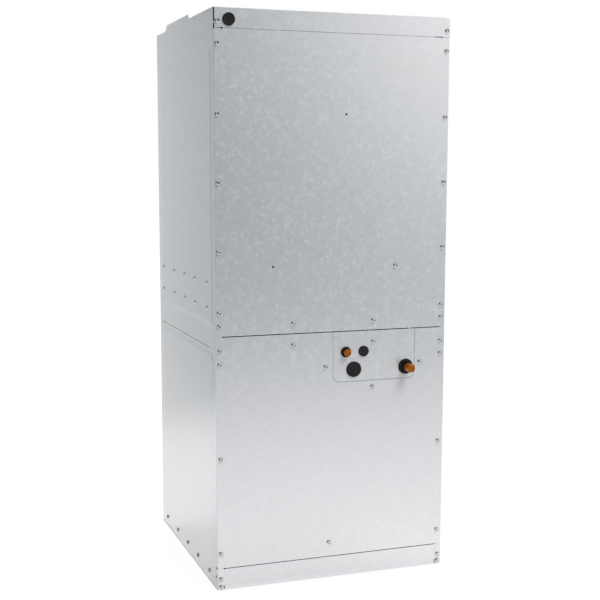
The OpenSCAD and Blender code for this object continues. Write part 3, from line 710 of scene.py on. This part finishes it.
def blower_wheel():
    """Ring of forward-curved blades between two end rings, carried by a middle disc."""
    verts, faces = [], []

    def yz(r, g):
        return WHEEL_Y + r * math.cos(g), WHEEL_Z + r * math.sin(g)

    count, steps = 44, 6
    for k in range(count):
        g0 = 2 * math.pi * k / count
        path = []
        for i in range(steps + 1):
            q = i / steps
            path.append((113.5 + 12.5 * q, g0 + 0.105 * q * q + 0.02 * q))
        for x0, x1 in ((-119.0, -0.9), (0.9, 119.0)):
            start = len(verts)
            for r, g in path:
                for dg in (-0.0035, 0.0035):
                    y, z = yz(r, g + dg)
                    verts.append(at(x0, y, z))
                    verts.append(at(x1, y, z))
            for i in range(steps):
                b = start + 4 * i
                faces += [[b, b + 1, b + 5, b + 4], [b + 2, b + 6, b + 7, b + 3], [b, b + 4, b + 6, b + 2], [b + 1, b + 3, b + 7, b + 5]]
            e = start + 4 * steps
            faces += [[start, start + 2, start + 3, start + 1], [e, e + 1, e + 3, e + 2]]
    for x0, x1 in ((-120.0, -117.0), (117.0, 120.0)):
        prof = [(112.5, x0), (127.0, x0), (127.0, x1), (112.5, x1), (112.5, x0)]
        lathe([(r * MM, h * MM) for r, h in prof], at(0, WHEEL_Y, WHEEL_Z), (1, 0, 0), 88, verts, faces)
    disc = [(7.5, -1.2), (40.0, -1.2), (44.0, -3.5), (100.0, -3.5), (104.0, -1.0), (126.0, -1.0), (126.0, 1.0), (104.0, 1.0), (100.0, -1.5), (44.0, -1.5), (40.0, 0.8), (7.5, 0.8), (7.5, -1.2)]
    lathe([(r * MM, h * MM) for r, h in disc], at(0, WHEEL_Y, WHEEL_Z), (1, 0, 0), 88, verts, faces)
    hub = [(7.0, -16.0), (16.0, -16.0), (17.5, -14.5), (17.5, 0.5), (7.0, 0.5), (7.0, -16.0)]
    lathe([(r * MM, h * MM) for r, h in hub], at(0, WHEEL_Y, WHEEL_Z), (1, 0, 0), 40, verts, faces)
    return piece("blower_wheel_blades", verts, faces, zinc_inner, ("blower_wheel",), sharp=30)


def blower_motor():
    """Motor with beaded shell, dished end bell and three strap arms."""
    verts, faces = [], []
    prof = [(7.0, 3.0), (7.0, 12.0), (20.0, 12.0), (24.0, 16.0), (52.0, 17.0), (60.0, 20.0), (64.5, 26.0), (66.0, 34.0), (66.0, 52.0), (64.6, 54.0), (64.6, 58.0), (66.0, 60.0),
            (66.0, 118.0), (64.6, 120.0), (64.6, 124.0), (66.0, 126.0), (66.0, 144.0), (64.0, 151.0), (58.0, 156.0), (40.0, 159.0), (26.0, 160.0), (24.0, 162.0), (12.0, 162.0), (0.0, 162.0)]
    lathe([(0.0, 3.0 * MM)] + [(r * MM, h * MM) for r, h in prof], at(0, WHEEL_Y, WHEEL_Z), (1, 0, 0), 72, verts, faces)
    for g in (90, 210, 330):
        rot = Matrix.Translation(at(0, WHEEL_Y, WHEEL_Z)) @ Matrix.Rotation(math.radians(g), 4, "X")
        box_into(verts, faces, (140.0 * MM, 62.0 * MM, -9.0 * MM), (143.0 * MM, 119.0 * MM, 9.0 * MM), rot)
        box_into(verts, faces, (118.0 * MM, 63.5 * MM, -9.0 * MM), (143.0 * MM, 66.5 * MM, 9.0 * MM), rot)
    return piece("blower_motor_body", verts, faces, enamel, ("blower_motor",), sharp=30)


blower_wheel()
blower_motor()

# ------------------------------------------------------------------ coil slabs: thin fins on copper tubes
LEAN = math.radians(28.0)


def coil_slab(name, s):
    verts, faces, tags = [], [], []

    def put(x, y, z):
        return at(s * (195.0 + x * math.cos(LEAN) - z * math.sin(LEAN)), 45.0 + y, 185.0 + x * math.sin(LEAN) + z * math.cos(LEAN))

    count = 200
    for k in range(count):
        y = 1.2 + (443.4 - 2.4) * k / (count - 1)
        start = len(verts)
        pts = []
        for i in range(13):
            z = 370.0 * i / 12
            pts.append((z, 0.5 * math.sin(i * math.pi)))
        for yy in (y - 0.1, y + 0.1):
            for x in (-22.5, 22.5):
                for z in (0.0, 370.0):
                    verts.append(put(x, yy, z))
        b = start
        for q in ((0, 1, 3, 2), (4, 6, 7, 5), (0, 4, 5, 1), (2, 3, 7, 6), (0, 2, 6, 4), (1, 5, 7, 3)):
            faces.append([b + i for i in q])
            tags.append(0)
    segs = 10
    for row, x in enumerate((-11.0, 11.0)):
        for k in range(14):
            z = 18.0 + 25.4 * k + (0.0 if row else 12.0)
            if z > 360:
                continue
            start = len(verts)
            for y in (0.2, 443.2):
                for i in range(segs):
                    g = 2 * math.pi * i / segs
                    verts.append(put(x + 4.76 * math.cos(g), y, z + 4.76 * math.sin(g)))
            for i in range(segs):
                i2 = (i + 1) % segs
                faces.append([start + i, start + i2, start + segs + i2, start + segs + i])
                tags.append(1)
            faces.append([start + i for i in reversed(range(segs))])
            faces.append([start + segs + i for i in range(segs)])
            tags += [1, 1]
    return piece(name + "_fins", verts, faces, [fins, copper], (name,), sharp=40, face_mats=tags)


coil_slab("coil_slab_left", -1.0)
coil_slab("coil_slab_right", 1.0)

# ------------------------------------------------------------------ carried-over pieces: finish and eased edges
finish = {
    "upper_front_panel": zinc_upper, "lower_front_panel": zinc_lower, "tube_plate": zinc_tubes,
    "upper_back_panel": zinc_back, "lower_back_panel": zinc_side_l, "top_panel": zinc_base, "header_rail": zinc_inner,
    "supply_flange_left": zinc_plate, "supply_flange_right": zinc_plate, "supply_flange_front": zinc_plate, "supply_flange_back": zinc_plate,
    "base_front_strip": zinc_base, "base_rail_left": zinc_inner, "base_rail_right": zinc_inner, "base_rail_back": zinc_inner,
    "upper_cross_rail": zinc_inner, "lower_cross_rail": zinc_inner, "blower_deck": zinc_inner, "blower_side_left": zinc_inner,
    "blower_side_right": zinc_inner, "blower_scroll": zinc_inner, "plenum_divider": zinc_inner,
    "coil_end_front": zinc_inner, "coil_end_back": zinc_inner, "upper_lining": foam, "lower_lining": foam, "drain_pan": pan_plastic,
}
ease = {"drain_pan": 1.2, "upper_lining": 1.5, "lower_lining": 1.5}


def flat_faces():
    """Node group that gives every face its own flat normal."""
    g = bpy.data.node_groups.new("flat_faces", "GeometryNodeTree")
    g.interface.new_socket("Geometry", in_out="INPUT", socket_type="NodeSocketGeometry")
    g.interface.new_socket("Geometry", in_out="OUTPUT", socket_type="NodeSocketGeometry")
    a, b = g.nodes.new("NodeGroupInput"), g.nodes.new("NodeGroupOutput")
    n = g.nodes.new("GeometryNodeSetMeshNormal")
    n.inputs["Remove Custom"].default_value = True
    n.inputs["Face Sharpness"].default_value = True
    g.links.new(a.outputs[0], n.inputs[0])
    g.links.new(n.outputs[0], b.inputs[0])
    return g


flat = flat_faces()
for name, m in finish.items():
    o = nodes[name]
    if not o.material_slots:
        o.data.materials.append(m)
    for slot_ in o.material_slots:
        slot_.material = m
    if name in ease:
        w = o.modifiers.new("weld", "WELD")
        w.merge_threshold = 0.00002
        b = o.modifiers.new("ease", "BEVEL")
        b.width = ease[name] * MM
        b.segments = 2
        b.limit_method = "ANGLE"
        b.angle_limit = math.radians(40)
        b.harden_normals = False
        o.modifiers.new("flat_faces", "NODES").node_group = flat

# ------------------------------------------------------------------ stage: floor, light tent cards, lights
sc.view_settings.view_transform = "Standard"
sc.view_settings.look = "None"
world = bpy.data.worlds.new("world")
sc.world = world
world.use_nodes = True
world.node_tree.nodes["Background"].inputs["Color"].default_value = (1.0, 1.0, 1.0, 1)
world.node_tree.nodes["Background"].inputs["Strength"].default_value = 1.0


def plane(name, corners, mat):
    me = bpy.data.meshes.new(name)
    me.from_pydata(corners, [], [[0, 1, 2, 3]])
    me.materials.append(mat)
    ob = bpy.data.objects.new(name, me)
    sc.collection.objects.link(ob)
    return ob


# pale light-table floor: partly lit from below outside the cabinet's footprint, so that it stays even
fm, fnt, fb = new_mat("floor_paper")
fn = noise(fnt, coords(fnt), 240.0, 3.0)
fnt.links.new(ramp(fnt, fn.outputs["Fac"], [(0.3, (0.24, 0.24, 0.24)), (0.7, (0.26, 0.26, 0.26))]), fb.inputs["Base Color"])
fb.inputs["Roughness"].default_value = 0.85
fb.inputs["Specular IOR Level"].default_value = 0.1
fb.inputs["Emission Color"].default_value = (1.0, 1.0, 1.0, 1)
fc = fnt.nodes.new("ShaderNodeSeparateXYZ")
fnt.links.new(coords(fnt), fc.inputs[0])
in_x = maths(fnt, "LESS_THAN", maths(fnt, "ABSOLUTE", fc.outputs[0], 0.0), 0.262)
in_y = maths(fnt, "LESS_THAN", maths(fnt, "ABSOLUTE", maths(fnt, "SUBTRACT", fc.outputs[1], 0.01575), 0.0), 0.262)
fnt.links.new(map_range(fnt, maths(fnt, "MULTIPLY", in_x, in_y), 0.0, 1.0, 0.80, 0.0), fb.inputs["Emission Strength"])
floor = plane("floor", [(-9, -9, 0), (9, -9, 0), (9, 9, 0), (-9, 9, 0)], fm)


def grey(v, cool=None):
    """A little warm where bright, a little blue where dim."""
    cool = min(1.8, max(0.0, (0.62 - v) / 0.26)) if cool is None else cool
    warm = 0.02 * min(1.0, max(0.0, (v - 0.62) / 0.2))
    return (v * (1 - 0.090 * cool + warm), v, v * (1 + 0.012 * cool))


def card(name, corners, axis, run, glows=()):
    """Large soft reflector that only shows in the metal: run gives (metres along the axis, brightness), glows add soft spots of (centre, reach, amount)."""
    m = bpy.data.materials.new(name)
    m.use_nodes = True
    nt = m.node_tree
    nt.nodes.clear()
    out = nt.nodes.new("ShaderNodeOutputMaterial")
    em = nt.nodes.new("ShaderNodeEmission")
    nt.links.new(em.outputs[0], out.inputs[0])
    c = coords(nt)
    sep = nt.nodes.new("ShaderNodeSeparateXYZ")
    nt.links.new(c, sep.inputs[0])
    lo, hi = run[0][0], run[-1][0]
    stops = [((r[0] - lo) / (hi - lo), grey(*r[1:])) for r in run]
    col = ramp(nt, map_range(nt, sep.outputs[axis], lo, hi, 0.0, 1.0), stops)
    for centre, reach, amount in glows:
        n = nt.nodes.new("ShaderNodeVectorMath")
        n.operation = "DISTANCE"
        n.inputs[1].default_value = centre
        nt.links.new(c, n.inputs[0])
        g = nt.nodes.new("ShaderNodeMapRange")
        g.interpolation_type = "SMOOTHSTEP"
        for k, x in zip(("From Min", "From Max", "To Min", "To Max"), (0.0, reach, amount, 0.0)):
            g.inputs[k].default_value = x
        nt.links.new(n.outputs["Value"], g.inputs["Value"])
        cg = nt.nodes.new("ShaderNodeCombineXYZ")
        for i in range(3):
            nt.links.new(g.outputs[0], cg.inputs[i])
        tint = vmath(nt, "MULTIPLY", cg.outputs[0], (1.11, 1.0, 0.975))
        col = vmath(nt, "ADD", col, tint)
    nt.links.new(col, em.inputs["Color"])
    ob = plane(name, corners, m)
    ob.visible_camera = ob.visible_diffuse = ob.visible_shadow = ob.visible_transmission = ob.visible_volume_scatter = False
    return ob


XW, YN, YB, TOP, FL = 4.6, -4.6, 1.5, 5.0, 0.004
card("card_front", [(-XW, YN, 0), (XW, YN, 0), (XW, YN, TOP), (-XW, YN, TOP)], 0,
     [(-1.2, 0.03), (0.1, 0.05), (0.9, 0.065), (1.7, 0.19), (2.5, 0.27), (XW, 0.42)], [((3.6, YN, 2.8), 3.15, 1.18), ((2.25, YN, 1.45), 1.0, 0.12)])
# painted shade: this floor card dims next to the cabinet's front edge, standing in for shade on the floor near the
# base, with a brighter patch in front of the right end where that shade ends
card("card_floor_front", [(-XW, YN, FL), (XW, YN, FL), (XW, -0.2608, FL), (-XW, -0.2608, FL)], 1,
     [(YN, 0.15, 1.0), (-3.64, 0.26, 0.7), (-3.04, 0.36, 0.5), (-2.50, 0.51, 0.1), (-2.05, 0.72), (-1.69, 0.88), (-1.38, 0.94), (-1.12, 1.0), (-0.90, 1.03), (-0.57, 1.03), (-0.33, 0.96), (-0.2608, 0.90)],
     [((0.31, -0.37, FL), 0.42, 0.17), ((-1.5, -1.2, FL), 1.3, -0.95)])
# painted shadow: the two floor cards at the left are darker towards the front, up to about y 0.25 m, standing in for
# the cabinet's cast shadow on the floor as the left side and its foot reflect it
card("card_floor_left", [(-XW, -0.2608, 0.0012), (-0.2686, -0.2608, 0.0012), (-0.2686, 0.8, 0.0012), (-XW, 0.8, 0.0012)], 1,
     [(-0.2608, 0.65, 0.2), (-0.18, 0.70, 0.25), (-0.12, 0.81, 0.2), (0.0, 0.89, 0.2), (0.12, 0.91, 0.2), (0.175, 0.94, 0.2), (0.25, 1.13, 0.2), (0.40, 1.17, 0.2), (0.8, 1.17, 0.2)])
card("card_foot", [(-0.2745, -0.2608, 0.0020), (-0.2686, -0.2608, 0.0020), (-0.2686, 0.30, 0.0020), (-0.2745, 0.30, 0.0020)], 1,
     [(-0.2608, 0.70, 0.2), (-0.12, 0.87, 0.2), (0.0, 0.91, 0.2), (0.30, 1.06, 0.2)])
card("card_left", [(-XW, YN, 0), (-XW, YB, 0), (-XW, YB, TOP), (-XW, YN, TOP)], 1,
     [(YN, 0.10), (-1.2, 0.12), (0.3, 0.46), (YB, 0.50)])
card("card_back", [(-XW, YB, 0), (XW, YB, 0), (XW, YB, 1.52), (-XW, YB, 1.52)], 0,
     [(-1.3, 0.455, 1.7), (-0.80, 0.455, 1.7), (-0.48, 0.96, -0.1), (-0.2, 1.1), (0.15, 0.75), (1.0, 0.60)],
     [((-0.62, YB, 0.05), 0.35, 0.08), ((-0.72, YB, 1.45), 0.45, -0.06)])
card("card_back_upper", [(-XW, YB, 1.52), (XW, YB, 1.52), (XW, YB, TOP), (-XW, YB, TOP)], 0,
     [(-1.3, 0.25), (-0.4, 0.32), (0.6, 0.45)])
card("card_floor_back", [(-XW, 0.8, FL), (0.0, 0.8, FL), (0.0, YB, FL), (-XW, YB, FL)], 1,
     [(0.8, 1.18, 0.2), (1.1, 1.13, 0.2), (YB, 0.99, 0.2)])
card("card_right", [(XW, YN, 0), (XW, YB, 0), (XW, YB, TOP), (XW, YN, TOP)], 1,
     [(YN, 0.66), (-0.8, 0.60), (0.5, 0.50), (YB, 0.42)])
card("card_floor_right", [(0.2686, -0.2608, 0.0012), (XW, -0.2608, 0.0012), (XW, YB, 0.0012), (0.2686, YB, 0.0012)], 0,
     [(0.2686, 0.80), (0.6, 0.84), (1.3, 0.66), (2.4, 0.46), (XW, 0.38)])
card("card_top", [(-XW, YN, TOP), (XW, YN, TOP), (XW, YB, TOP), (-XW, YB, TOP)], 0,
     [(-4.0, 0.60), (-2.0, 0.80), (0.0, 0.80), (2.0, 0.78)])


def area(name, loc, target, size, watts, glossy):
    d = bpy.data.lights.new(name, "AREA")
    d.shape = "DISK"
    d.size = size
    d.energy = watts
    o = bpy.data.objects.new(name, d)
    sc.collection.objects.link(o)
    o.location = loc
    o.rotation_euler = (Vector(target) - Vector(loc)).to_track_quat("-Z", "Y").to_euler()
    o.visible_glossy = glossy
    o.visible_camera = False
    return o


key = area("key", (1.23, -2.46, 3.98), (0.0, -0.25, 0.62), 1.7, 424.0, False)
side = area("side", (3.6, 0.9, 2.1), (-0.3, 0.0, 0.2), 0.9, 40.0, False)
rear = area("rear", (2.0, 2.9, 2.2), (0.2, -0.2, 0.2), 0.9, 30.0, False)
key.data.color = (0.92, 1.0, 1.005)
# the lights are for the object alone and leave the floor even
apart = bpy.data.collections.new("light_receivers")
apart.objects.link(floor)
apart.collection_objects[0].light_linking.link_state = "EXCLUDE"
for lamp in (key, side, rear):
    lamp.light_linking.receiver_collection = apart
